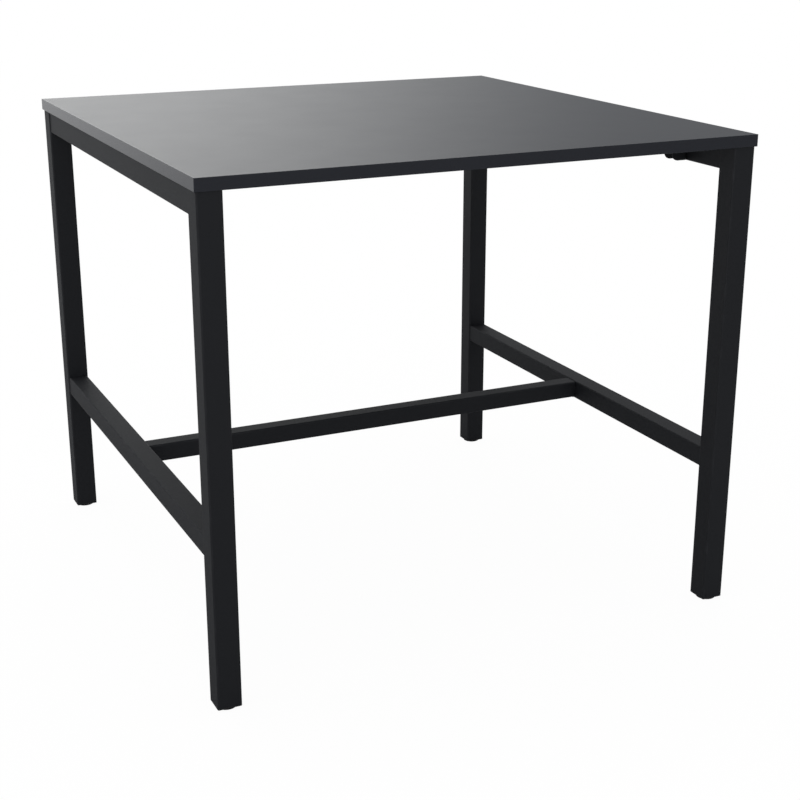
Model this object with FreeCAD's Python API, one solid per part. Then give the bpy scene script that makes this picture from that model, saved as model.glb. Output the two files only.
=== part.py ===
import FreeCAD, Part
import math
import os

# Pub table: a square laminated top on two welded end frames that one low stretcher joins.
# Origin on the floor under the middle of the top. +X to the right, +Y to the back, +Z up.
# All sizes are in millimetres.

Vector = FreeCAD.Vector

# ---- driving dimensions --------------------------------------------------------------------

# top
TOP_LENGTH = 1200.0          # along X
TOP_DEPTH = 1200.0           # along Y
TOP_THICKNESS = 25.0
TOP_HEIGHT = 1045.0          # floor to the top's upper face
SHEET = 0.8                  # decorative laminate above, balancing sheet below
BAND = 2.0                   # edge band
BAND_ROUND = 1.0             # arris of the edge band

# welded frame
FRAME_INSET = 3.5            # top's edge to the frame's outer faces
LEG = 50.0                   # square tube of the legs
RAIL_WIDTH = 45.0            # rails stand in the middle of the legs' width
TOP_RAIL_HEIGHT = 50.0
CROSS_RAIL_HEIGHT = 45.0
CROSS_RAIL_LEVEL = 355.0     # floor to the upper face of the cross rails
STRETCHER = 40.0             # square tube, halfway up the cross rails' inner faces
TUBE_WALL = 2.0
TUBE_ROUND = 3.5             # outer corner of every tube

# fixing brackets between the top rails and the top
BRACKET_SHEET = 3.0
BRACKET_MOUTH = 25.0         # clear width between the cheeks
BRACKET_HEIGHT = 49.0
BRACKET_REACH = 36.5         # rail's inner face to the cheeks' free edge
BRACKET_NOSE = 14.0          # round lower corner of the cheeks
BRACKET_BEND = 1.5           # inner bend of the pressed sheet
BRACKET_FROM_LEG = 132.0     # leg's inner face to the bracket's middle

# hexagon-head screws through the brackets
SCREW_SHANK = 6.0
SCREW_LENGTH = 20.0          # under the head
SCREW_FLATS = 10.0
SCREW_HEAD_HEIGHT = 4.0
SCREW_HOLE = 6.6             # in the bracket
SCREW_PILOT = 0.05           # radial room of the shank in the top

# ribbed foot plug pressed into each leg
PLUG_FLANGE = 3.0
PLUG_SKIRT_HEIGHT = 26.0
PLUG_SKIRT_WALL = 2.0
PLUG_SKIRT_ROOM = 0.9        # skirt to the tube's inner face, bridged by the fins
PLUG_CORNER = 1.5            # cut-off corners of the skirt and the fins
PLUG_FIN = 1.2
PLUG_FIN_PITCH = 7.0
PLUG_FIN_COUNT = 3
PLUG_FIN_ROOM = 0.05
PLUG_BOSS_FLATS = 18.0
PLUG_BOSS_HEIGHT = 15.0
PLUG_WEB = 1.8
PLUG_RECESS = 16.0           # flats of the twelve-sided recess below, where the stud's hexagon turns
PLUG_RECESS_DEPTH = 2.8
STUD_ROOM = 0.4              # radial room of the stud in the plug

# nut held in the plug's boss
NUT_FLATS = 13.0
NUT_HEIGHT = 6.5
NUT_ROOM = 0.05
THREAD_ROOM = 0.05           # radial room of the stud in its nut

# levelling foot: steel stud turning in a swivel pad
STUD = 8.0
STUD_LENGTH = 36.0           # above its hexagon
HEX_FLATS = 13.0
HEX_HEIGHT = 2.2
PAD = 43.0                   # across the grip flats of its rim
PAD_GRIPS = 24
PAD_HEIGHT = 4.2
PAD_CHAMFER = 1.2
PAD_FLOOR = 1.3              # pad under the stud
PAD_FIT = 0.05               # radial room of the stud in the pad
PAD_END_GAP = 0.1            # stud's end to the bottom of its socket
STOP_GAP = 0.4               # hexagon of the wound-in foot to the end of the plug's recess
FOOT_GAP = 5.2               # floor to the plug's underside with the foot wound in

# ---- sizes worked out from them ------------------------------------------------------------

UNDERSIDE = TOP_HEIGHT - TOP_THICKNESS
LEG_X = TOP_LENGTH / 2 - FRAME_INSET - LEG / 2
LEG_Y = TOP_DEPTH / 2 - FRAME_INSET - LEG / 2
INNER_Y = LEG_Y - LEG / 2
RAIL_INNER_X = LEG_X - RAIL_WIDTH / 2
LEG_BOTTOM = FOOT_GAP + PLUG_FLANGE
BORE = LEG - 2 * TUBE_WALL
BRACKET_WIDTH = BRACKET_MOUTH + 2 * BRACKET_SHEET
BRACKET_Y = INNER_Y - BRACKET_FROM_LEG
SCREW_X = RAIL_INNER_X - (BRACKET_SHEET + BRACKET_REACH) / 2

SIDES = {"left": -1, "right": 1}
ENDS = {"front": -1, "back": 1}


# ---- plain shapes --------------------------------------------------------------------------

def rounded_rectangle(width, depth, radius):
    """Closed outline in the XY plane, centred on the origin, with round corners."""
    x, y = width / 2, depth / 2
    radius = min(radius, 0.98 * x, 0.98 * y)
    edges = []
    for quarter, (sx, sy) in enumerate(((1, 1), (-1, 1), (-1, -1), (1, -1))):
        centre = Vector(sx * (x - radius), sy * (y - radius), 0)
        start = quarter * math.pi / 2
        points = []
        for turn in (0, math.pi / 4, math.pi / 2):
            arm = Vector(math.cos(start + turn), math.sin(start + turn), 0)
            points.append(centre + arm * radius)
        edges.append(Part.Arc(*points).toShape())
    sides = []
    for edge, following in zip(edges, edges[1:] + edges[:1]):
        first = edge.valueAt(edge.LastParameter)
        second = following.valueAt(following.FirstParameter)
        sides.append(Part.makeLine(first, second))
    loop = [piece for pair in zip(edges, sides) for piece in pair]
    return Part.Wire(loop)


def prism(width, depth, radius, height, bottom=0.0):
    """Upright bar of rounded-rectangle section, standing at the given level."""
    solid = Part.Face(rounded_rectangle(width, depth, radius)).extrude(Vector(0, 0, height))
    return moved(solid, z=bottom)


def bar(width, depth, height, bottom=0.0):
    """Upright square-cornered bar."""
    return Part.makeBox(width, depth, height, Vector(-width / 2, -depth / 2, bottom))


def tube(width, depth, length):
    """Upright hollow section with one wall thickness and round outer corners."""
    outer = prism(width, depth, TUBE_ROUND, length)
    return outer.cut(bar(width - 2 * TUBE_WALL, depth - 2 * TUBE_WALL, length))


def many_sided(sides, flats, height, bottom=0.0):
    """Upright bar of regular section, measured across its flats."""
    corner = flats / 2 / math.cos(math.pi / sides)
    points = []
    for step in range(sides + 1):
        angle = step * 2 * math.pi / sides
        points.append(Vector(corner * math.cos(angle), corner * math.sin(angle), bottom))
    return Part.Face(Part.makePolygon(points)).extrude(Vector(0, 0, height))


def hexagon(flats, height, bottom=0.0):
    return many_sided(6, flats, height, bottom)


def cylinder(diameter, height, bottom=0.0):
    return Part.makeCylinder(diameter / 2, height, Vector(0, 0, bottom))


def block(width, corner, height, bottom=0.0):
    """Upright square bar with cut-off corners, standing at the given level."""
    near, far = width / 2 - corner, width / 2
    plan = [(far, near), (near, far), (-near, far), (-far, near),
            (-far, -near), (-near, -far), (near, -far), (far, -near)]
    points = [Vector(x, y, bottom) for x, y in plan]
    return Part.Face(Part.makePolygon(points + points[:1])).extrude(Vector(0, 0, height))


def moved(shape, x=0.0, y=0.0, z=0.0):
    copy = shape.copy()
    copy.translate(Vector(x, y, z))
    return copy


def spun(shape, degrees, axis=Vector(0, 0, 1)):
    copy = shape.copy()
    copy.rotate(Vector(0, 0, 0), axis, degrees)
    return copy


def laid_along_y(shape):
    """Upright bar laid down from -Y to +Y, its middle at the origin; its depth becomes height."""
    length = shape.BoundBox.ZLength
    return spun(moved(shape, z=-length / 2), -90, Vector(1, 0, 0))


def laid_along_x(shape):
    """Upright bar laid down from -X to +X, its middle at the origin; its depth stays level."""
    length = shape.BoundBox.ZLength
    return spun(moved(shape, z=-length / 2), 90, Vector(0, 1, 0))


# ---- top -----------------------------------------------------------------------------------

def board(thickness, bottom):
    """Flat panel inside the edge bands."""
    return bar(TOP_LENGTH - 2 * BAND, TOP_DEPTH - 2 * BAND, thickness, bottom)


def band_section(length):
    """Edge band along X: flat at the back (y = 0), its two outer arrises round."""
    radius = min(BAND_ROUND, 0.9 * BAND, 0.45 * TOP_THICKNESS)
    strip = moved(bar(length, BAND, TOP_THICKNESS), y=-BAND / 2)
    arrises = []
    for edge in strip.Edges:
        box = edge.BoundBox
        if box.XLength > length / 2 and box.YMax < -BAND / 2:
            arrises.append(edge)
    return strip.makeFillet(radius, arrises)


def end_band(side):
    """Edge band along Y on the left or right, between the front and back bands."""
    strip = spun(band_section(TOP_DEPTH - 2 * BAND), 90 * side)
    return moved(strip, x=side * (TOP_LENGTH / 2 - BAND), z=UNDERSIDE)


def long_band(end):
    """Edge band along X at the front or back, rounded at the table's corners."""
    radius = min(BAND_ROUND, 0.9 * BAND)
    strip = band_section(TOP_LENGTH)
    plan = prism(TOP_LENGTH, 2 * BAND, radius, TOP_THICKNESS)
    strip = strip.common(plan)
    if end > 0:
        strip = spun(strip, 180)
    return moved(strip, y=end * (TOP_DEPTH / 2 - BAND), z=UNDERSIDE)


def screw_places():
    """Axes of the bracket screws, as (x, y)."""
    return [(side * SCREW_X, end * BRACKET_Y) for side in SIDES.values() for end in ENDS.values()]


def pilot_holes():
    """Blind holes for the bracket screws, cut up into the top from below."""
    bore = SCREW_SHANK + 2 * SCREW_PILOT
    depth = SCREW_LENGTH - BRACKET_SHEET + SCREW_PILOT
    holes = [moved(cylinder(bore, depth), x, y, UNDERSIDE) for x, y in screw_places()]
    return Part.makeCompound(holes)


def make_top(nodes):
    core = TOP_THICKNESS - 2 * SHEET
    nodes["top_core"] = board(core, UNDERSIDE + SHEET).cut(pilot_holes())
    nodes["top_laminate"] = board(SHEET, TOP_HEIGHT - SHEET)
    nodes["top_backer"] = board(SHEET, UNDERSIDE).cut(pilot_holes())
    for name, end in ENDS.items():
        nodes["edge_band_" + name] = long_band(end)
    for name, side in SIDES.items():
        nodes["edge_band_" + name] = end_band(side)


# ---- welded frame --------------------------------------------------------------------------

def make_frame(nodes):
    """Legs run up to the top, narrower rails butt between them and the stretcher butts between those."""
    leg = tube(LEG, LEG, UNDERSIDE - LEG_BOTTOM)
    top_rail = laid_along_y(tube(RAIL_WIDTH, TOP_RAIL_HEIGHT, 2 * INNER_Y))
    cross_rail = laid_along_y(tube(RAIL_WIDTH, CROSS_RAIL_HEIGHT, 2 * INNER_Y))
    stretcher = laid_along_x(tube(STRETCHER, STRETCHER, 2 * RAIL_INNER_X))
    low = CROSS_RAIL_LEVEL - CROSS_RAIL_HEIGHT / 2
    for side_name, side in SIDES.items():
        x = side * LEG_X
        for end_name, end in ENDS.items():
            nodes[f"leg_{end_name}_{side_name}"] = moved(leg, x, end * LEG_Y, LEG_BOTTOM)
        nodes["top_rail_" + side_name] = moved(top_rail, x, z=UNDERSIDE - TOP_RAIL_HEIGHT / 2)
        nodes["cross_rail_" + side_name] = moved(cross_rail, x, z=low)
    nodes["stretcher"] = moved(stretcher, z=low)


# ---- fixing brackets -----------------------------------------------------------------------

def cheek_outline():
    """Side view of the bracket in the XZ plane, reaching from the rail (x = 0) towards -X."""
    low = -BRACKET_HEIGHT
    nose = min(BRACKET_NOSE, 0.9 * BRACKET_REACH, 0.9 * BRACKET_HEIGHT)
    middle = Vector(-BRACKET_REACH + nose, 0, low + nose)
    first = middle + Vector(0, 0, -nose)
    half = middle + Vector(-math.sin(math.pi / 4), 0, -math.cos(math.pi / 4)) * nose
    last = middle + Vector(-nose, 0, 0)
    corner = Vector(-BRACKET_REACH, 0, 0)
    edges = [
        Part.makeLine(Vector(0, 0, low), first),
        Part.Arc(first, half, last).toShape(),
        Part.makeLine(last, corner),
        Part.makeLine(corner, Vector(0, 0, 0)),
        Part.makeLine(Vector(0, 0, 0), Vector(0, 0, low)),
    ]
    return Part.Wire(edges)


def bracket():
    """Pressed channel: back against the rail, two cheeks, and a tab that takes one screw."""
    bend = BRACKET_BEND + BRACKET_SHEET
    blank = prism(2 * BRACKET_REACH, BRACKET_WIDTH, bend, BRACKET_HEIGHT, -BRACKET_HEIGHT)
    length = 2 * (BRACKET_REACH - BRACKET_SHEET)
    mouth = prism(length, BRACKET_MOUTH, BRACKET_BEND, BRACKET_HEIGHT, -BRACKET_HEIGHT)
    channel = moved(blank.cut(mouth), x=-BRACKET_REACH)
    outline = moved(cheek_outline(), y=-BRACKET_WIDTH)
    channel = channel.common(Part.Face(outline).extrude(Vector(0, 2 * BRACKET_WIDTH, 0)))
    reach = BRACKET_REACH - BRACKET_SHEET / 2
    tab = bar(reach, BRACKET_MOUTH + BRACKET_SHEET, BRACKET_SHEET, -BRACKET_SHEET)
    tab = moved(tab, x=reach / 2 - BRACKET_REACH)
    hole = moved(cylinder(SCREW_HOLE, 2 * BRACKET_SHEET, -2 * BRACKET_SHEET), SCREW_X - RAIL_INNER_X)
    return channel.fuse(tab).removeSplitter().cut(hole)


def screw():
    """Hexagon-head screw standing point up, the underside of its head at z = 0."""
    shank = cylinder(SCREW_SHANK, SCREW_LENGTH + SCREW_HEAD_HEIGHT, -SCREW_HEAD_HEIGHT)
    return shank.fuse(hexagon(SCREW_FLATS, SCREW_HEAD_HEIGHT, -SCREW_HEAD_HEIGHT)).removeSplitter()


def make_brackets(nodes):
    right = bracket()
    left = spun(right, 180)
    for side_name, side in SIDES.items():
        shape = right if side > 0 else left
        for end_name, end in ENDS.items():
            name = f"bracket_{end_name}_{side_name}"
            nodes[name] = moved(shape, side * RAIL_INNER_X, end * BRACKET_Y, UNDERSIDE)
    level = UNDERSIDE - BRACKET_SHEET
    nodes["top_screws"] = Part.makeCompound([moved(screw(), x, y, level) for x, y in screw_places()])


# ---- feet ----------------------------------------------------------------------------------

def plug():
    """Foot plug, z = 0 at its underside: recessed flange, finned hollow skirt, boss and four webs."""
    skirt_width = BORE - 2 * PLUG_SKIRT_ROOM
    fin_width = BORE - 2 * PLUG_FIN_ROOM
    inside = skirt_width - 2 * PLUG_SKIRT_WALL
    flange = prism(LEG, LEG, TUBE_ROUND, PLUG_FLANGE)
    shell = block(skirt_width, PLUG_CORNER, PLUG_SKIRT_HEIGHT, PLUG_FLANGE)
    for count in range(PLUG_FIN_COUNT):
        level = PLUG_FLANGE + (count + 1) * PLUG_FIN_PITCH - PLUG_FIN
        shell = shell.fuse(block(fin_width, PLUG_CORNER, PLUG_FIN, level))
    shell = shell.cut(block(inside, PLUG_CORNER, 2 * PLUG_SKIRT_HEIGHT, PLUG_FLANGE))
    boss = hexagon(PLUG_BOSS_FLATS, PLUG_BOSS_HEIGHT, PLUG_FLANGE)
    web = bar(inside + PLUG_SKIRT_WALL, PLUG_WEB, PLUG_BOSS_HEIGHT, PLUG_FLANGE)
    body = flange.fuse([shell, boss, web, spun(web, 90)]).removeSplitter()
    top = PLUG_FLANGE + PLUG_BOSS_HEIGHT
    pocket = hexagon(NUT_FLATS + 2 * NUT_ROOM, 2 * NUT_HEIGHT, top - NUT_HEIGHT)
    recess = many_sided(12, PLUG_RECESS, PLUG_RECESS_DEPTH)
    return body.cut([pocket, recess, cylinder(STUD + 2 * STUD_ROOM, top)])


def nut():
    """Hexagon nut, z = 0 at its underside."""
    return hexagon(NUT_FLATS, NUT_HEIGHT).cut(cylinder(STUD + 2 * THREAD_ROOM, NUT_HEIGHT))


def stud():
    """Stud of the foot, z = 0 at the floor: one long shank with a spanner hexagon."""
    low = PAD_FLOOR + PAD_END_GAP
    hex_top = FOOT_GAP + PLUG_RECESS_DEPTH - STOP_GAP
    shank = cylinder(STUD, hex_top + STUD_LENGTH - low, low)
    return shank.fuse(hexagon(HEX_FLATS, HEX_HEIGHT, hex_top - HEX_HEIGHT))


def pad():
    """Swivel pad, z = 0 at the floor: a disc with grip flats round its rim and a blind socket."""
    disc = many_sided(PAD_GRIPS, PAD, PAD_HEIGHT)
    rim = [edge for edge in disc.Edges if edge.BoundBox.ZMax < PAD_HEIGHT / 2]
    disc = disc.makeChamfer(min(PAD_CHAMFER, 0.6 * PAD_HEIGHT), rim)
    return disc.cut(cylinder(STUD + 2 * PAD_FIT, PAD_HEIGHT, PAD_FLOOR))


def make_feet(nodes):
    shapes = {"plug": (plug(), FOOT_GAP), "foot_stud": (stud(), 0.0), "foot_pad": (pad(), 0.0)}
    nut_level = FOOT_GAP + PLUG_FLANGE + PLUG_BOSS_HEIGHT - NUT_HEIGHT
    nuts = []
    for side_name, side in SIDES.items():
        for end_name, end in ENDS.items():
            x, y = side * LEG_X, end * LEG_Y
            for kind, (shape, level) in shapes.items():
                nodes[f"{kind}_{end_name}_{side_name}"] = moved(shape, x, y, level)
            nuts.append(moved(nut(), x, y, nut_level))
    nodes["plug_nuts"] = Part.makeCompound(nuts)


# ---- the whole table -----------------------------------------------------------------------

def main():
    nodes = {}
    make_top(nodes)
    make_frame(nodes)
    make_brackets(nodes)
    make_feet(nodes)
    os.makedirs("parts", exist_ok=True)
    for name, shape in nodes.items():
        shape.exportStep(f"parts/{name}.step")
        print(name, len(shape.Solids), shape.isValid(), round(shape.Volume))


main()
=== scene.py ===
import math

import bmesh
import bpy
import numpy as np
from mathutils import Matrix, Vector


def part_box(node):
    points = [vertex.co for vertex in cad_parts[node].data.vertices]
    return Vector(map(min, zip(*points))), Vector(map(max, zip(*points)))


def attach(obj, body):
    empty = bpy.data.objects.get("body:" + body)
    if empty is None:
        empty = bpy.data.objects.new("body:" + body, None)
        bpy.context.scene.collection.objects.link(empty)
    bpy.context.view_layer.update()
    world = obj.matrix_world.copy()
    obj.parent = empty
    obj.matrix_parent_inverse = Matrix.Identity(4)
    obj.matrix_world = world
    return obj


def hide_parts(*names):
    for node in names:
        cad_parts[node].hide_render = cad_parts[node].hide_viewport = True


# Looks of the pub table: laminated top, textured black powder coat on square tube, screw feet.
# Metres throughout, +Z up, the floor at z = 0 under the middle of the top.

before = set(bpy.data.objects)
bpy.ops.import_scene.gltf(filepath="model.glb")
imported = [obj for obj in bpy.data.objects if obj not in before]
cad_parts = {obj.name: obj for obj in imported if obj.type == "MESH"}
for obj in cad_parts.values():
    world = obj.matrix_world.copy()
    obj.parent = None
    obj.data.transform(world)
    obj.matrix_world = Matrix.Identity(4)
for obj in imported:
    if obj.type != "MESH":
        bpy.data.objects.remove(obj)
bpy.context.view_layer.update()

SIDES = ("left", "right")
ENDS = ("front", "back")
CORNERS = [f"{end}_{side}" for side in SIDES for end in ENDS]
RAILS = [f"{kind}_{side}" for kind in ("top_rail", "cross_rail") for side in SIDES]
X, Y, Z = range(3)

# ---- sizes -----------------------------------------------------------------------------------

MERGE = 1e-6                 # points closer than this become one
SLIVER = 1e-7                # edges shorter than this are dropped
SAME = 1e-5                  # lengths that differ by less count as equal
FLAT = math.radians(0.5)     # faces that fold by less are merged into one
SHARP = math.radians(32)     # folds steeper than this stay crisp

TUBE_WALL = 0.0020
TUBE_ROUND = 0.0035          # outer corner of every tube
ROUND_STEPS = 8              # facets in a quarter turn
FLAT_LEAD = 0.0003           # strip of flat beside each round that keeps the flat's shading flat
CUT_BREAK = 0.0003           # burr taken off the legs' lower ends

BEAD = 0.0026                # leg length of the weld beads
BEAD_CURVE = 1.5             # power of the section: 1 is round, 2 is flat
BEAD_ROOT = 0.0004           # depth of the root behind the corner
BEAD_FADE = 0.0030           # length over which a bead tapers off at its ends
BEAD_END = 0.35              # share of the leg that is left there
BEAD_RIPPLE = 0.0021         # spacing of the ripples
BEAD_SWELL = 0.055           # share of the leg that a ripple adds and takes
BEAD_BOW = 0.35              # share of a ripple by which its middle runs ahead of its sides
BEAD_WANDER = ((0.05, 610.0, 1.3), (0.04, 1430.0, 0.0))    # share, radians per metre, phase
BEAD_ROWS = 8                # rows of points in one ripple
BEAD_COLUMNS = 9             # points across a bead

BAND_ROUND = 0.00098         # arris of the edge bands, just under half their thickness
BAND_STEPS = 4               # facets in it
BRACKET_SHEET = 0.0030
BRACKET_EDGE = 0.0004        # softened edges of the pressed brackets
PLUG_EDGE = 0.00025          # softened edges of the moulded plugs
EDGE_STEPS = 2               # facets in a softened edge
PLUG_RECESS = 0.0028         # depth of the recess that the stud's hexagon stands in
STOP_GAP = 0.0004            # hexagon to the recess's floor

STUD = 0.0080
STUD_EDGE = 0.0003           # chamfer of the stud's lower end
STUD_TIP = 0.0010            # and of its upper end
STUD_COLUMNS = 40            # points round it
THREAD_PITCH = 0.00125
THREAD_DEPTH = 0.00066
THREAD_CREST = 0.12          # share of half a pitch that is flat at the crest
THREAD_FLANK = 0.66          # and that the flank takes
THREAD_RUNOUT = 0.0015       # length over which the thread grows out of the plain shank
THREAD_ROWS = 8              # rows of points in one turn

HEX_FLATS = 0.0130           # the stud's hexagon
HEX_HEIGHT = 0.0022
HEX_COLUMNS = 72             # points round any hexagon
HEX_CHAMFER = math.radians(30)
HEX_FACE = 0.97              # diameter of its flat end, as a share of the width over flats

PAD = 0.0430
PAD_FLOOR = 0.0013
PAD_BORE = 0.0081
PAD_BORE_EDGE = 0.0003       # chamfer of the bore
PAD_HEM = 0.0012             # round lower edge
PAD_HEM_STEPS = 6            # facets in it
PAD_LIP = 0.0006             # round upper edge
PAD_LIP_STEPS = 5
PAD_RING = 0.80              # where the faces have a ring of points, as a share of the radius
PAD_GRIPS = 24
PAD_GRIP_DEPTH = 0.00035
PAD_GRIP_START = 0.85        # where the grips begin, as a share of the radius

SCREW = 0.0060
SCREW_FLATS = 0.0100
SCREW_HEAD = 0.0040
SCREW_TIP = 0.0030           # length of the point
SCREW_LAP = 0.0005           # how far the shank starts inside the head
SCREW_COLUMNS = 32           # points round it


# ---- surfaces --------------------------------------------------------------------------------

def quads(grid, closed_rows, closed_columns, first):
    """Corner numbers of the quads between neighbouring points of a grid."""
    rows, columns = grid.shape[:2]
    number = first + np.arange(rows * columns).reshape(rows, columns)
    if closed_rows:
        number = np.vstack([number, number[:1]])
    if closed_columns:
        number = np.hstack([number, number[:, :1]])
    return np.stack([number[:-1, :-1], number[:-1, 1:], number[1:, 1:], number[1:, :-1]],
                    axis=-1).reshape(-1, 4)


def solid_from(name, shells, arris=None):
    """Mesh object of closed shells. Each shell is (grid of points, rows closed, columns closed);
    coincident points are merged, which closes seams and poles, and all faces point outwards.
    arris, where given, is a mark for each point, 1 on the round corners of a tube."""
    points, faces = [], []
    for grid, closed_rows, closed_columns in shells:
        faces.append(quads(grid, closed_rows, closed_columns, sum(len(p) for p in points)))
        points.append(grid.reshape(-1, 3))
    mesh = bpy.data.meshes.new(name)
    mesh.from_pydata(np.concatenate(points).tolist(), [], np.concatenate(faces).tolist())
    if arris is not None:
        mark = mesh.attributes.new("arris", "FLOAT", "POINT")
        mark.data.foreach_set("value", np.asarray(arris, np.float32).ravel())
    finish_mesh(mesh)
    return placed(name, mesh)


def finish_mesh(mesh, flatten=False):
    """Merges coincident points, turns faces outwards and shades all but the sharp folds smooth.
    flatten also merges the triangles of each flat face into one."""
    work = bmesh.new()
    work.from_mesh(mesh)
    bmesh.ops.remove_doubles(work, verts=work.verts, dist=MERGE)
    bmesh.ops.dissolve_degenerate(work, edges=work.edges, dist=SLIVER)
    if flatten:
        bmesh.ops.dissolve_limit(work, verts=work.verts, edges=work.edges, angle_limit=FLAT)
    bmesh.ops.recalc_face_normals(work, faces=work.faces)
    work.to_mesh(mesh)
    work.free()
    mesh.shade_smooth()
    mesh.set_sharp_from_angle(angle=SHARP)


def placed(name, mesh):
    piece = bpy.data.objects.new(name, mesh)
    bpy.context.scene.collection.objects.link(piece)
    return piece


def rounded_outline(width, depth, radius):
    """Rounded rectangle, counter-clockwise: a quarter circle at each corner, and one more point
    on the flat just before and just after it. Returns the points, and for each a mark: 1 on a
    round, 0 on a flat."""
    turn = np.linspace(0, np.pi / 2, ROUND_STEPS + 1)
    angle = np.arange(4)[:, None] * np.pi / 2 + turn
    corner = np.array([[1, 1], [-1, 1], [-1, -1], [1, -1]])
    middle = corner * (np.array([width, depth]) / 2 - radius)
    arc = middle[:, None] + radius * np.stack([np.cos(angle), np.sin(angle)], axis=-1)
    tangent = np.stack([-np.sin(angle), np.cos(angle)], axis=-1)
    before = arc[:, :1] - FLAT_LEAD * tangent[:, :1]
    after = arc[:, -1:] + FLAT_LEAD * tangent[:, -1:]
    outline = np.concatenate([before, arc, after], axis=1).reshape(-1, 2)
    on_round = np.tile([0.0] + [1.0] * (ROUND_STEPS + 1) + [0.0], 4)
    return outline, on_round


def about_axis(radius, angle, level):
    """Points at those radii, angles and levels round the Z axis."""
    level = np.broadcast_to(level, radius.shape)
    return np.stack([radius * np.cos(angle), radius * np.sin(angle), level], axis=-1)


def turned(rows, columns, radius_at=None):
    """Surface of revolution about the Z axis: row (r, z), column angle a gives
    (r cos a, r sin a, z). radius_at(r, a), where given, changes r with the angle."""
    rows = np.asarray(rows, float)
    angle = np.linspace(0, 2 * np.pi, columns, endpoint=False)[None, :]
    radius = np.repeat(rows[:, :1], columns, axis=1)
    if radius_at is not None:
        radius = radius_at(radius, angle)
    return about_axis(radius, angle, rows[:, 1:])


def hexagon(flats, bottom, top, chamfer_above=True):
    """Hexagonal bar: at angle a its side is at (flats / 2) / cos(a - nearest flat's middle). A
    turned cone takes the corners off its lower end, and off its upper end where asked."""
    corner, face = flats / math.sqrt(3), HEX_FACE * flats / 2
    drop = (corner - flats / 2) * math.tan(HEX_CHAMFER)
    above = [(corner, top - drop), (face, top)] if chamfer_above else [(corner, top)]
    rows = [(0, bottom), (face, bottom), (corner, bottom + drop), *above, (0, top)]

    def side(radius, angle):
        off = (angle + np.pi / 6) % (np.pi / 3) - np.pi / 6
        return np.minimum(radius, flats / 2 / np.cos(off))

    return turned(rows, HEX_COLUMNS, side)


def arc_rows(radius, level, edge, start, steps):
    """Rows (r, z) of a quarter arc of radius edge about (radius, level), from angle start on."""
    angle = np.linspace(start, start + np.pi / 2, steps + 1)
    return np.column_stack([radius + edge * np.cos(angle), level + edge * np.sin(angle)])


def capped(grid):
    """Closes both ends of a grid, each with one more row that is gathered in its middle."""
    caps = grid[[0, -1]].mean(axis=1, keepdims=True).repeat(grid.shape[1], axis=1)
    return np.concatenate([caps[:1], grid, caps[1:]])


def at(grid, x, y):
    return grid + np.array([x, y, 0])


# ---- pieces ----------------------------------------------------------------------------------

def seat(piece, body, finish, nodes=()):
    """Gives a new piece its finish, its body and the nodes it stands for."""
    piece.data.materials.clear()
    piece.data.materials.append(finish)
    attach(piece, body)
    if nodes:
        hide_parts(*nodes)
    return piece


def node_box(node):
    """Lowest and highest corner of a node."""
    low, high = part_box(node)
    return np.array(low), np.array(high)


def rolled_tube(node, axis, finish, cut_break=0.0):
    """Square tube with round corners in the box of a node: the outline carried straight along
    the axis, out at its full size and back one wall thickness smaller."""
    low, high = node_box(node)
    middle, size = (low + high) / 2, high - low
    across = [other for other in (X, Y, Z) if other != axis]
    margins = [cut_break, 0, 0, 0, TUBE_WALL, TUBE_WALL]
    places = [low[axis], low[axis] + cut_break, high[axis] - FLAT_LEAD, high[axis],
              high[axis], low[axis]]
    rows, marks = [], []
    for margin, place in zip(margins, places):
        width, depth = size[across] - 2 * margin
        outline, on_round = rounded_outline(width, depth, max(TUBE_ROUND - margin, 2 * FLAT_LEAD))
        row = np.empty((len(outline), 3))
        row[:, across] = outline + middle[across]
        row[:, axis] = place
        rows.append(row)
        marks.append(on_round)
    piece = solid_from(f"{node}_tube", [(np.array(rows), True, True)], np.array(marks))
    return seat(piece, "table", finish, [node])


def weld_bead(start, end, first, second):
    """Fillet of weld along a corner line from start to end, between faces that leave the corner in
    the directions first and second. At share t of the line and angle p across the bead the point
    is corner(t) + s (first cos(p)^c + second sin(p)^c), where c is the power of the section and
    the leg s swells with each ripple, wanders a little and falls off at both ends."""
    start, end, first, second = (np.asarray(v, float) for v in (start, end, first, second))
    length = np.linalg.norm(end - start)
    t = np.linspace(0, 1, int(length / BEAD_RIPPLE * BEAD_ROWS))[:, None]
    p = np.linspace(0, np.pi / 2, BEAD_COLUMNS)[None, :]
    place = t * length
    ripple = np.cos(2 * np.pi * (place / BEAD_RIPPLE - BEAD_BOW * np.sin(2 * p)))
    wander = sum(share * np.sin(place * rate + phase) for share, rate, phase in BEAD_WANDER)
    fade = np.minimum(1, np.minimum(place, length - place) / BEAD_FADE)
    taper = BEAD_END + (1 - BEAD_END) * np.sqrt(fade * (2 - fade))
    leg = BEAD * (1 + BEAD_SWELL * ripple + wander) * taper
    corner = (start + t * (end - start))[:, None]
    section = (np.cos(p)[..., None] ** BEAD_CURVE * first
               + np.sin(p)[..., None] ** BEAD_CURVE * second)
    root = corner - BEAD_ROOT * (first + second)
    bead = np.concatenate([root, corner + leg[..., None] * section], axis=1)
    return capped(bead), False, True


def weld_beads(finish):
    """Beads in the inner corners under the rails and under the stretcher. The welds on the faces
    that show are ground flush."""
    down = (0, 0, -1)
    shells = []
    for node in RAILS:
        low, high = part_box(node)
        left, right = low.x + TUBE_ROUND, high.x - TUBE_ROUND
        for y, inward in ((low.y, 1), (high.y, -1)):
            shells.append(weld_bead((left, y, low.z), (right, y, low.z), (0, inward, 0), down))
    low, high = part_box("stretcher")
    front, back = low.y + TUBE_ROUND, high.y - TUBE_ROUND
    for x, inward in ((low.x, 1), (high.x, -1)):
        shells.append(weld_bead((x, front, low.z), (x, back, low.z), (inward, 0, 0), down))
    piece = solid_from("weld_beads", shells)
    return seat(piece, "table", finish)


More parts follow.
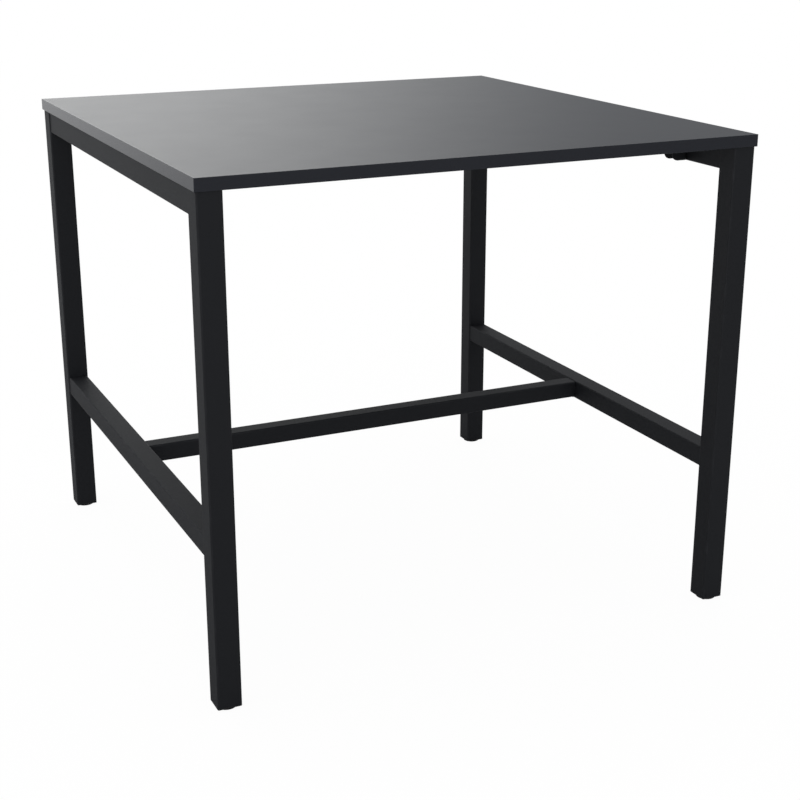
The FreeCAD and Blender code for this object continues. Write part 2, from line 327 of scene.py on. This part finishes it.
def softened(node, finish, width):
    """The node's own form with its edges rounded: its triangles merged into whole faces first."""
    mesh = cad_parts[node].data.copy()
    finish_mesh(mesh, flatten=True)
    piece = placed(f"{node}_shape", mesh)
    edge = piece.modifiers.new("edges", "BEVEL")
    edge.width = width
    edge.segments = EDGE_STEPS
    edge.limit_method = "ANGLE"
    edge.angle_limit = SHARP
    edge.harden_normals = True
    return seat(piece, "table", finish, [node])


def edge_band(name, finish):
    """Glued edging in the box of its node. Its outer arrises are round, and so are the table's
    upright corners, which belong to the front and back bands."""
    node = f"edge_band_{name}"
    low, high = node_box(node)
    axis = X if name in SIDES else Y
    outer = (high if name in ("right", "back") else low)[axis]
    plan = [(low[X], low[Y]), (high[X], low[Y]), (high[X], high[Y]), (low[X], high[Y])]
    rings = np.array([[(x, y, level) for x, y in plan] for level in (low[Z], high[Z])])
    piece = solid_from(f"{node}_strip", [(capped(rings), False, True)])
    work = bmesh.new()
    work.from_mesh(piece.data)
    bmesh.ops.dissolve_limit(work, verts=work.verts, edges=work.edges, angle_limit=FLAT)
    weight = work.edges.layers.float.new("bevel_weight_edge")
    for edge in work.edges:
        on_face = all(abs(v.co[axis] - outer) < SAME for v in edge.verts)
        upright = abs(edge.verts[0].co.z - edge.verts[1].co.z) > SAME
        edge[weight] = float(on_face and (axis == Y or not upright))
    work.to_mesh(piece.data)
    work.free()
    arris = piece.modifiers.new("arris", "BEVEL")
    arris.width = BAND_ROUND
    arris.segments = BAND_STEPS
    arris.limit_method = "WEIGHT"
    arris.harden_normals = True
    return seat(piece, "table", finish, [node])


def threaded_stud(corner, finish):
    """Foot stud: plain end in the pad, chamfered spanner hexagon, and a shank whose radius at
    height z and angle a is the crest less the thread depth times a triangle wave of
    z / pitch - a / 2 pi, with its peaks and roots cut flat."""
    node = f"foot_stud_{corner}"
    low, high = node_box(node)
    x, y, _ = (low + high) / 2
    bottom, tip = low[Z], high[Z]
    hex_top = node_box(f"plug_{corner}")[0][Z] + PLUG_RECESS - STOP_GAP
    start = hex_top - HEX_HEIGHT / 2
    rows = int((tip - start) / THREAD_PITCH * THREAD_ROWS)
    z = np.linspace(start, tip, rows)[:, None]
    a = np.linspace(0, 2 * np.pi, STUD_COLUMNS, endpoint=False)[None, :]
    wave = np.abs(2 * ((z / THREAD_PITCH - a / (2 * np.pi)) % 1) - 1)
    groove = np.clip((wave - THREAD_CREST) / THREAD_FLANK, 0, 1)
    grown = np.clip((z - hex_top) / THREAD_RUNOUT, 0, 1)
    radius = STUD / 2 - THREAD_DEPTH * groove * grown
    radius = np.minimum(radius, STUD / 2 - STUD_TIP + (tip - z))
    shank = capped(about_axis(radius, a, z))
    foot = turned([(0, bottom), (STUD / 2 - STUD_EDGE, bottom), (STUD / 2, bottom + STUD_EDGE),
                   (STUD / 2, start), (0, start)], STUD_COLUMNS)
    collar = hexagon(HEX_FLATS, hex_top - HEX_HEIGHT, hex_top)
    shells = [(at(grid, x, y), False, True) for grid in (shank, foot, collar)]
    piece = solid_from(f"{node}_thread", shells)
    return seat(piece, f"stud_{corner}", finish, [node])


def swivel_pad(corner, finish):
    """Foot pad: a turned disc with round edges, its rim pressed in by shallow cosine flutes that
    fingers can grip, and a blind bore for the stud."""
    node = f"foot_pad_{corner}"
    low, high = node_box(node)
    x, y, _ = (low + high) / 2
    rim, top, bore = PAD / 2, high[Z], PAD_BORE / 2
    hem = arc_rows(rim - PAD_HEM, PAD_HEM, PAD_HEM, -np.pi / 2, PAD_HEM_STEPS)
    lip = arc_rows(rim - PAD_LIP, top - PAD_LIP, PAD_LIP, 0, PAD_LIP_STEPS)
    rows = [(0, 0), (PAD_RING * rim, 0), *hem, *lip, (PAD_RING * rim, top),
            (bore + PAD_BORE_EDGE, top), (bore, top - PAD_BORE_EDGE), (bore, PAD_FLOOR),
            (0, PAD_FLOOR)]

    def fluted(radius, angle):
        share = np.clip((radius / rim - PAD_GRIP_START) / (1 - PAD_GRIP_START), 0, 1)
        return radius - PAD_GRIP_DEPTH * share * (1 - np.cos(PAD_GRIPS * angle)) / 2

    disc = at(turned(rows, 6 * PAD_GRIPS, fluted), x, y)
    piece = solid_from(f"{node}_moulding", [(disc, False, True)])
    return seat(piece, f"pad_{corner}", finish, [node])


def hexagon_screws(finish):
    """Four hexagon-head screws, one up through each bracket's tab."""
    low, high = node_box("top_screws")
    under, tip, radius = low[Z] + SCREW_HEAD, high[Z], SCREW / 2
    head = hexagon(SCREW_FLATS, low[Z], under, chamfer_above=False)
    shank = turned([(0, under - SCREW_LAP), (radius, under - SCREW_LAP),
                    (radius, tip - SCREW_TIP), (0, tip)], SCREW_COLUMNS)
    shells = []
    for corner in CORNERS:
        low, high = node_box(f"bracket_{corner}")
        x, y, _ = (low + high) / 2
        inward = -1 if corner.endswith("right") else 1
        x += inward * BRACKET_SHEET / 2
        shells += [(at(grid, x, y), False, True) for grid in (head, shank)]
    piece = solid_from("bracket_screws", shells)
    return seat(piece, "table", finish, ["top_screws"])


# ---- node arithmetic -------------------------------------------------------------------------

class Value:
    """An output of a node. Arithmetic on it adds Math nodes, so formulas read as written."""

    def __init__(self, nodes, socket):
        self.nodes = nodes
        self.socket = socket

    def output(self, name):
        return Value(self.nodes, self.socket.node.outputs[name])

    def parts(self):
        """The three numbers of a vector."""
        node = self.nodes.add("ShaderNodeSeparateXYZ", None, {"Vector": self}).socket.node
        return [Value(self.nodes, socket) for socket in node.outputs]

    def math(self, operation, *others):
        sockets = dict(enumerate((self, *others)))
        return self.nodes.add("ShaderNodeMath", {"operation": operation}, sockets)

    def __add__(self, other):
        return self.math("ADD", other)

    def __sub__(self, other):
        return self.math("SUBTRACT", other)

    def __rsub__(self, other):
        return self.math("MULTIPLY_ADD", -1.0, other)

    def __mul__(self, other):
        return self.math("MULTIPLY", other)

    def __truediv__(self, other):
        return self.math("DIVIDE", other)

    def __pow__(self, other):
        return self.math("POWER", other)

    def ramp(self, low, high):
        """0 below low, 1 above high, smooth between them."""
        settings = {"interpolation_type": "SMOOTHSTEP"}
        return self.nodes.add("ShaderNodeMapRange", settings,
                              {"Value": self, "From Min": low, "From Max": high})

    __radd__ = __add__
    __rmul__ = __mul__


class Nodes:
    """The nodes of one material or of the world."""

    def __init__(self, owner):
        owner.use_nodes = True
        self.owner = owner
        self.tree = owner.node_tree
        self.tree.nodes.clear()

    def add(self, kind, settings=None, sockets=None):
        """Adds a node: its settings first, then values or links for its sockets by name or
        number. Returns its first output that is in use."""
        node = self.tree.nodes.new(kind)
        for name, value in (settings or {}).items():
            setattr(node, name, value)
        for key, value in (sockets or {}).items():
            self.fill(node, key, value)
        outputs = [socket for socket in node.outputs if socket.enabled]
        return Value(self, outputs[0]) if outputs else None

    def fill(self, node, key, value):
        if isinstance(key, int):
            socket = node.inputs[key]
        else:
            socket = next(s for s in node.inputs if s.name == key and s.enabled)
        if isinstance(value, Value):
            self.tree.links.new(value.socket, socket)
        elif socket.type == "RGBA":
            socket.default_value = (*value, 1.0)
        else:
            socket.default_value = value

    def here(self):
        """The point being shaded, in the piece's own metres."""
        return self.add("ShaderNodeTexCoord").output("Object")

    def noise(self, size, detail=2.0, rough=0.5, stretch=None):
        """Soft noise, 0 to 1, with features of about that size in metres."""
        place = self.here()
        if stretch is not None:
            place = self.add("ShaderNodeMapping", None, {"Vector": place, "Scale": stretch})
        sockets = {"Vector": place, "Scale": 1 / size, "Detail": detail, "Roughness": rough}
        return self.add("ShaderNodeTexNoise", None, sockets)

    def blend(self, share, first, second):
        """Colour between two colours."""
        sockets = {"Factor": share, "A": first, "B": second}
        return self.add("ShaderNodeMix", {"data_type": "RGBA"}, sockets)

    def bump(self, height, distance, strength=1.0):
        sockets = {"Height": height, "Distance": distance, "Strength": strength}
        return self.add("ShaderNodeBump", None, sockets)

    def surface(self, sockets):
        """Closes a material with its one shader."""
        shader = self.add("ShaderNodeBsdfPrincipled", None, sockets)
        self.add("ShaderNodeOutputMaterial", None, {"Surface": shader})
        return self.owner


def material(name):
    return Nodes(bpy.data.materials.new(name))


# ---- finishes --------------------------------------------------------------------------------

def satin_laminate():
    """Charcoal melamine laminate: a fine pearl embossing, faintly cloudy in colour and sheen."""
    n = material("satin_laminate")
    pearl = n.noise(0.0007, detail=2.0)
    cloud = n.noise(0.09, detail=3.0)
    colour = n.blend(cloud, (0.0188, 0.0196, 0.0212), (0.0222, 0.0231, 0.0250))
    return n.surface({
        "Base Color": colour,
        "Roughness": 0.27 + 0.05 * pearl + 0.03 * cloud,
        "Specular IOR Level": 0.5,
        "Normal": n.bump(pearl, 0.00001),
    })


def satin_edging():
    """Drawn plastic edging, its sheen faintly streaked along the strip."""
    n = material("satin_edging")
    streak = n.noise(0.0006, detail=2.0, stretch=(0.02, 0.02, 1.0))
    grain = n.noise(0.0008, detail=2.0)
    colour = n.blend(streak, (0.0120, 0.0132, 0.0182), (0.0142, 0.0154, 0.0208))
    return n.surface({
        "Base Color": colour,
        "Roughness": 0.20 + 0.06 * streak + 0.03 * grain,
        "Specular IOR Level": 0.38,
        "Normal": n.bump(grain, 0.000012),
    })


def powder_coat():
    """Fine-textured black powder coat: orange peel, a finer grain on it, a slow mottling, and
    arrises rubbed a little lighter and smoother."""
    n = material("powder_coat")
    peel = n.noise(0.0022, detail=2.0)
    grain = n.noise(0.0006, detail=3.0, rough=0.6)
    mottle = n.noise(0.006, detail=3.0)
    rubbed = n.add("ShaderNodeAttribute", {"attribute_name": "arris"}).output("Fac")
    wear = rubbed * n.noise(0.05, detail=4.0).ramp(0.45, 0.75)
    tone = n.blend(mottle, (0.0070, 0.0074, 0.0088), (0.0104, 0.0110, 0.0128))
    return n.surface({
        "Base Color": n.blend(wear * 0.3, tone, (0.030, 0.031, 0.033)),
        "Roughness": 0.56 + 0.10 * mottle - 0.05 * wear,
        "Specular IOR Level": 0.3,
        "Normal": n.bump(peel + 0.5 * grain, 0.00008),
    })


def moulded_plastic():
    """Black moulded plastic with a fine spark-eroded grain."""
    n = material("moulded_plastic")
    grain = n.noise(0.0005, detail=2.0)
    cloud = n.noise(0.012, detail=2.0)
    return n.surface({
        "Base Color": n.blend(cloud, (0.0100, 0.0100, 0.0105), (0.0150, 0.0150, 0.0155)),
        "Roughness": 0.42 + 0.10 * grain,
        "Specular IOR Level": 0.4,
        "Normal": n.bump(grain, 0.00003),
    })


def zinc_plate():
    """Bright zinc plating, its sheen uneven and its colour drifting from blue to straw."""
    n = material("zinc_plate")
    drift = n.noise(0.004, detail=2.0)
    scuff = n.noise(0.0006, detail=3.0)
    return n.surface({
        "Base Color": n.blend(drift, (0.56, 0.58, 0.62), (0.64, 0.62, 0.56)),
        "Metallic": 1.0,
        "Roughness": 0.28 + 0.16 * scuff,
        "Normal": n.bump(scuff, 0.00001),
    })


def balancing_sheet():
    """Matt paper-backed sheet under the top."""
    n = material("balancing_sheet")
    fibre = n.noise(0.0010, detail=4.0, rough=0.65, stretch=(1.0, 0.35, 1.0))
    cloud = n.noise(0.05, detail=3.0)
    return n.surface({
        "Base Color": n.blend(0.6 * cloud + 0.4 * fibre, (0.016, 0.016, 0.017),
                              (0.024, 0.024, 0.025)),
        "Roughness": 0.62 + 0.12 * fibre,
        "Specular IOR Level": 0.4,
        "Normal": n.bump(fibre, 0.00004),
    })


def chipboard():
    """Pressed wood chips: straw and brown flakes with fine fibre in them."""
    n = material("chipboard")
    chips = n.add("ShaderNodeTexVoronoi", None, {"Vector": n.here(), "Scale": 260.0})
    tone = n.add("ShaderNodeSeparateColor", None, {"Color": chips.output("Color")})
    fibre = n.noise(0.0008, detail=4.0, stretch=(1.0, 1.0, 3.0))
    return n.surface({
        "Base Color": n.blend(0.7 * tone + 0.3 * fibre, (0.30, 0.19, 0.10), (0.58, 0.44, 0.27)),
        "Roughness": 0.85,
        "Normal": n.bump(fibre, 0.0001),
    })


# ---- studio ----------------------------------------------------------------------------------

WHITE = (1.0, 1.0, 1.0)
ROOM = (0.28, 0.29, 0.31)    # light from all round, a little cool
WALL = (1.65, 1.65, 1.63)    # what the bright end wall adds
WALL_BEARING = 10.0          # where it is brightest, in degrees from +Y toward +X
WALL_LEFT = 49.0             # degrees over which it falls off to the left
WALL_RIGHT = 25.0            # and to the right
WALL_TOP = 0.57              # sine of the elevation where it ends
GLOWS = (                    # round soft lights: colour, bearing, elevation and reach
    ((1.11, 1.11, 1.11), 18.0, 68.0, 49.0),     # the overhead softbox,
    ((0.50, 0.52, 0.56), -162.0, 5.0, 68.0),    # the fill behind the camera
    ((0.65, 0.66, 0.68), -108.0, 44.0, 60.0)    # and the softbox at the left
)

SKY_STEPS = 512              # directions along each side of the sum over the sky

FLOOR_HALF = 12.0
FLOOR_COLOUR = (0.46, 0.46, 0.46)
SWEEP = 0.65                 # light that the floor sends out at its bright side
SWEEP_EDGE = (-0.13, 0.26)   # from where to where it rises, as -x / distance
SWEEP_REACH = 12.5           # metres over which it rises outward
SHADOW_SHARE = 0.04          # how much of the floor's own shading the camera sees

CAMERA_PLACE = (-1.3545, -3.0443, 1.4931)
CAMERA_TARGET = (0.0730, 0.0, 0.3657)
CAMERA_LENS = 66.744         # mm
CAMERA_SENSOR = 36.0         # mm
CAMERA_CLIP = (0.05, 60.0)


def direction(bearing, elevation):
    """Unit vector from a bearing and an elevation in degrees."""
    bearing, elevation = math.radians(bearing), math.radians(elevation)
    level = math.cos(elevation)
    return (level * math.sin(bearing), level * math.cos(bearing), math.sin(elevation))


def smooth(share):
    """The smooth step that Value.ramp makes, for numbers."""
    share = np.clip(share, 0, 1)
    return share ** 2 * (3 - 2 * share)


def open_floor_light():
    """The light on an unshaded floor: the studio's light averaged over the sky. Directions spread
    evenly in bearing and in the square of their height are spread as a level floor weighs them."""
    step = (np.arange(SKY_STEPS) + 0.5) / SKY_STEPS
    height, bearing = np.meshgrid(np.sqrt(step), np.pi * (2 * step - 1))
    level = np.sqrt(1 - height ** 2)
    sky = np.stack([level * np.sin(bearing), level * np.cos(bearing), height], axis=-1)
    off = np.degrees(bearing) - WALL_BEARING
    wall = smooth(1 + off / WALL_LEFT) * smooth(1 - off / WALL_RIGHT)
    wall = wall * smooth(1 - height / WALL_TOP)
    light = np.array(ROOM) + wall.mean() * np.array(WALL)
    for colour, bearing, elevation, reach in GLOWS:
        rim = math.cos(math.radians(reach))
        share = smooth((sky @ np.array(direction(bearing, elevation)) - rim) / (1 - rim))
        light = light + share.mean() * np.array(colour)
    return light


def studio_light():
    """White to the camera and through glass. The light itself is a plain room with a bright end
    wall, which falls off by smooth steps to its left, to its right and upward, and with soft
    glows: each adds its colour times a smooth step of the cosine of the angle from its middle,
    from 0 at its reach to 1. Glossy pieces show the same room."""
    n = Nodes(bpy.data.worlds.new("studio"))
    bpy.context.scene.world = n.owner
    toward = n.add("ShaderNodeTexCoord").output("Generated")
    x, y, height = toward.parts()
    off = x.math("ARCTAN2", y) - math.radians(WALL_BEARING)
    left = off.ramp(-math.radians(WALL_LEFT), 0)
    right = off.ramp(0, math.radians(WALL_RIGHT))
    lit = [(left * (1 - right) * (1 - height.ramp(0, WALL_TOP)), WALL)]
    for colour, bearing, elevation, reach in GLOWS:
        near = n.add("ShaderNodeVectorMath", {"operation": "DOT_PRODUCT"},
                     {0: toward, 1: direction(bearing, elevation)}).output("Value")
        lit.append((near.ramp(math.cos(math.radians(reach)), 1), colour))
    room = ROOM
    for share, colour in lit:
        sockets = {0: share, 1: colour, 2: room}
        room = n.add("ShaderNodeVectorMath", {"operation": "MULTIPLY_ADD"}, sockets)
    path = n.add("ShaderNodeLightPath")
    seen = path.output("Is Camera Ray").math("MAXIMUM", path.output("Is Transmission Ray"))
    light = n.add("ShaderNodeBackground", None, {"Color": n.blend(seen, room, WHITE)})
    n.add("ShaderNodeOutputWorld", None, {"Surface": light})


def studio_floor():
    """Pale floor. The camera sees white, darkened by a share of the table's shadow and brought
    back to exactly white where nothing shades it. Everything else sees a grey floor, which glows
    far out on its bright side: SWEEP times a smooth step of -x / distance times a smooth step of
    the distance."""
    half = FLOOR_HALF
    corners = [(-half, -half, 0), (half, -half, 0), (half, half, 0), (-half, half, 0)]
    mesh = bpy.data.meshes.new("floor")
    mesh.from_pydata(corners, [], [(0, 1, 2, 3)])
    floor = placed("floor", mesh)
    n = material("studio_floor")
    camera = n.add("ShaderNodeLightPath").output("Is Camera Ray")
    lit = n.add("ShaderNodeBsdfDiffuse", None, {"Color": n.blend(camera, FLOOR_COLOUR, WHITE)})
    x, y, _ = n.here().parts()
    distance = (x * x + y * y) ** 0.5
    sweep = (-1 * x / distance).ramp(*SWEEP_EDGE) * distance.ramp(0, SWEEP_REACH)
    glow = n.add("ShaderNodeEmission", None, {"Color": n.blend(sweep, (0, 0, 0), (SWEEP,) * 3)})
    open_white = (1 - SHADOW_SHARE * open_floor_light()) / (1 - SHADOW_SHARE)
    white = n.add("ShaderNodeEmission", None, {"Color": tuple(open_white.tolist())})
    seen = n.add("ShaderNodeMixShader", None, {0: 1 - SHADOW_SHARE, 1: lit, 2: white})
    felt = n.add("ShaderNodeAddShader", None, {0: lit, 1: glow})
    both = n.add("ShaderNodeMixShader", None, {0: camera, 1: felt, 2: seen})
    n.add("ShaderNodeOutputMaterial", None, {"Surface": both})
    mesh.materials.append(n.owner)


def studio_camera():
    camera = bpy.data.cameras.new("camera")
    camera.lens = CAMERA_LENS
    camera.sensor_width = CAMERA_SENSOR
    camera.clip_start, camera.clip_end = CAMERA_CLIP
    stand = bpy.data.objects.new("camera", camera)
    stand.location = CAMERA_PLACE
    aim = Vector(CAMERA_TARGET) - Vector(CAMERA_PLACE)
    stand.rotation_mode = "QUATERNION"
    stand.rotation_quaternion = aim.to_track_quat("-Z", "Y")
    bpy.context.scene.collection.objects.link(stand)
    bpy.context.scene.camera = stand


# ---- the whole scene -------------------------------------------------------------------------

def dress_nodes(finishes):
    """Finishes for the nodes that are shown as they are."""
    for node, finish in finishes.items():
        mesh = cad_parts[node].data
        mesh.materials.clear()
        mesh.materials.append(finish)


def main():
    coat, plastic, zinc = powder_coat(), moulded_plastic(), zinc_plate()
    edging, laminate = satin_edging(), satin_laminate()
    for corner in CORNERS:
        rolled_tube(f"leg_{corner}", Z, coat, CUT_BREAK)
        softened(f"bracket_{corner}", coat, BRACKET_EDGE)
        softened(f"plug_{corner}", plastic, PLUG_EDGE)
        threaded_stud(corner, zinc)
        swivel_pad(corner, plastic)
    for rail in RAILS:
        rolled_tube(rail, Y, coat)
    rolled_tube("stretcher", X, coat)
    weld_beads(coat)
    hexagon_screws(zinc)
    for name in (*ENDS, *SIDES):
        edge_band(name, edging)
    dress_nodes({"top_laminate": laminate, "top_backer": balancing_sheet(),
                 "top_core": chipboard(), "plug_nuts": zinc})
    studio_light()
    studio_floor()
    studio_camera()
    bpy.context.scene.view_settings.view_transform = "Standard"


main()
